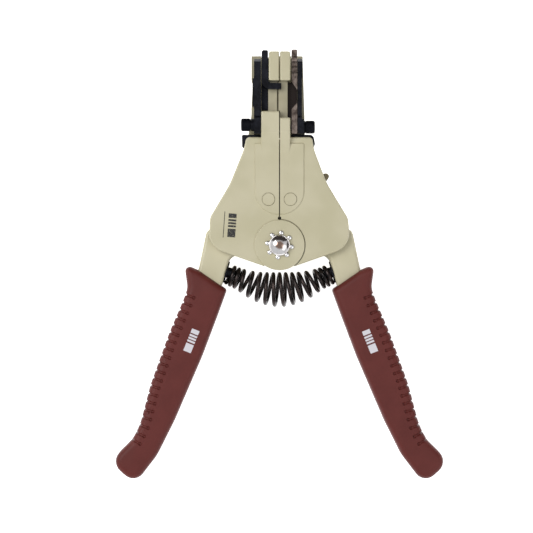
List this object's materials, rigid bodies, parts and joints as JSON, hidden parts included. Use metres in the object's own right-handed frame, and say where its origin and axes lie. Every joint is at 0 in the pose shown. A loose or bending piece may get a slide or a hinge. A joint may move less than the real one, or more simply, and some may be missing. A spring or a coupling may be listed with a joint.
{
  "type": "wire stripper",
  "caption": "Hand tool that grips an insulated wire, cuts its insulation and pulls it off as sprung handles are squeezed and split jaw heads part.",
  "frame": {"origin": "on the main pivot's axis, in the plane of the back plates' outer faces, which is also the back face of the pivot bolt's head", "axes": "+X across the tool towards the blade side, +Y from the pivot towards the jaw tips, +Z out of the front plates, along the main pivot"},
  "size_m": [0.1314, 0.1717, 0.0203],
  "materials": {
    "body_paint": "semi-gloss beige paint on cast and pressed metal",
    "grip_plastic": "dark maroon moulded plastic, satin",
    "spring_steel": "black oiled spring wire",
    "chrome": "bright plating",
    "blade_steel": "ground tool steel with a brown cast",
    "pin_steel": "steel pin painted over with the frame",
    "zinc_steel": "zinc plated",
    "latch_steel": "dull brown steel",
    "black_steel": "black oxide, satin"
  },
  "bodies": {
    "left_handle": {"left_handle": "body_paint", "left_grip": "grip_plastic", "left_spring_seat": "black_steel", "return_spring": "spring_steel"},
    "right_handle": {"right_handle": "body_paint", "right_grip": "grip_plastic", "right_spring_seat": "black_steel"},
    "left_frame": {"left_frame": "body_paint", "left_back_plate": "body_paint", "left_plate_screws": "zinc_steel", "left_hinge_bracket": "black_steel", "left_jaw_pin": "zinc_steel", "left_jaw_spring": "zinc_steel", "left_clamp_plate": "black_steel", "left_cap_screw": "black_steel", "left_screw_collar": "black_steel", "left_cam_pin": "pin_steel", "upper_gripper": "black_steel", "pivot_bolt": "zinc_steel", "pivot_spacer": "zinc_steel", "tooth_washer": "chrome", "pivot_screw": "chrome"},
    "right_frame": {"right_frame": "body_paint", "right_back_plate": "body_paint", "right_plate_screws": "zinc_steel", "right_hinge_bracket": "black_steel", "right_jaw_pin": "zinc_steel", "right_jaw_spring": "zinc_steel", "right_clamp_plate": "black_steel", "right_cap_screw": "black_steel", "right_screw_collar": "black_steel", "right_cam_pin": "pin_steel", "upper_blade": "blade_steel", "latch_pin": "zinc_steel", "latch_spring": "zinc_steel"},
    "left_jaw": {"left_back_jaw": "body_paint", "lower_gripper": "black_steel", "gripper_screw": "black_steel"},
    "right_jaw": {"right_back_jaw": "body_paint", "lower_blade": "blade_steel", "blade_screw": "black_steel"},
    "left_cam": {"left_cam": "black_steel"},
    "right_cam": {"right_cam": "black_steel"},
    "latch": {"latch_lever": "latch_steel"}
  },
  "joints": [
    {"name": "squeeze", "type": "hinge", "parent": "left_handle", "child": "right_handle", "pos_m": [0, 0, 0.0081], "axis": [0, 0, -1], "range_deg": [0, 32], "stiffness_Nm_per_rad": 0.8, "deforming": ["return_spring"]},
    {"name": "left_head_turn", "type": "hinge", "parent": "left_handle", "child": "left_frame", "pos_m": [0, 0, 0.0081], "axis": [0, 0, -1], "range_deg": [0, 6.05]},
    {"name": "head_spread", "type": "hinge", "parent": "left_frame", "child": "right_frame", "pos_m": [0, 0, 0.0081], "axis": [0, 0, -1], "range_deg": [0, 20.1]},
    {"name": "left_jaw_close", "type": "hinge", "parent": "left_frame", "child": "left_jaw", "pos_m": [-0.005, 0.038, 0.007], "axis": [1, 0, 0], "range_deg": [0, 8], "stiffness_Nm_per_rad": 0.05, "springref_deg": -5.73},
    {"name": "right_jaw_close", "type": "hinge", "parent": "right_frame", "child": "right_jaw", "pos_m": [0.005, 0.038, 0.007], "axis": [1, 0, 0], "range_deg": [0, 8.05]},
    {"name": "left_cam_turn", "type": "hinge", "parent": "left_frame", "child": "left_cam", "pos_m": [-0.0044, 0.0183, 0.0081], "axis": [0, 0, -1], "range_deg": [0, 12.1]},
    {"name": "right_cam_turn", "type": "hinge", "parent": "right_frame", "child": "right_cam", "pos_m": [0.0044, 0.0183, 0.0081], "axis": [0, 0, 1], "range_deg": [0, 12.1]},
    {"name": "latch_swing", "type": "hinge", "parent": "right_frame", "child": "latch", "pos_m": [0.0136, 0.0196, 0.009], "axis": [0, 0, 1], "range_deg": [-6, 6], "stiffness_Nm_per_rad": 0.01}
  ],
  "couplings": [
    {"joint": "left_head_turn", "follows": "squeeze", "ratio": 0.1875},
    {"joint": "head_spread", "follows": "squeeze", "ratio": 0.625},
    {"joint": "left_cam_turn", "follows": "squeeze", "ratio": 0.375},
    {"joint": "right_cam_turn", "follows": "squeeze", "ratio": 0.375},
    {"joint": "right_jaw_close", "follows": "left_jaw_close", "ratio": 1}
  ]
}
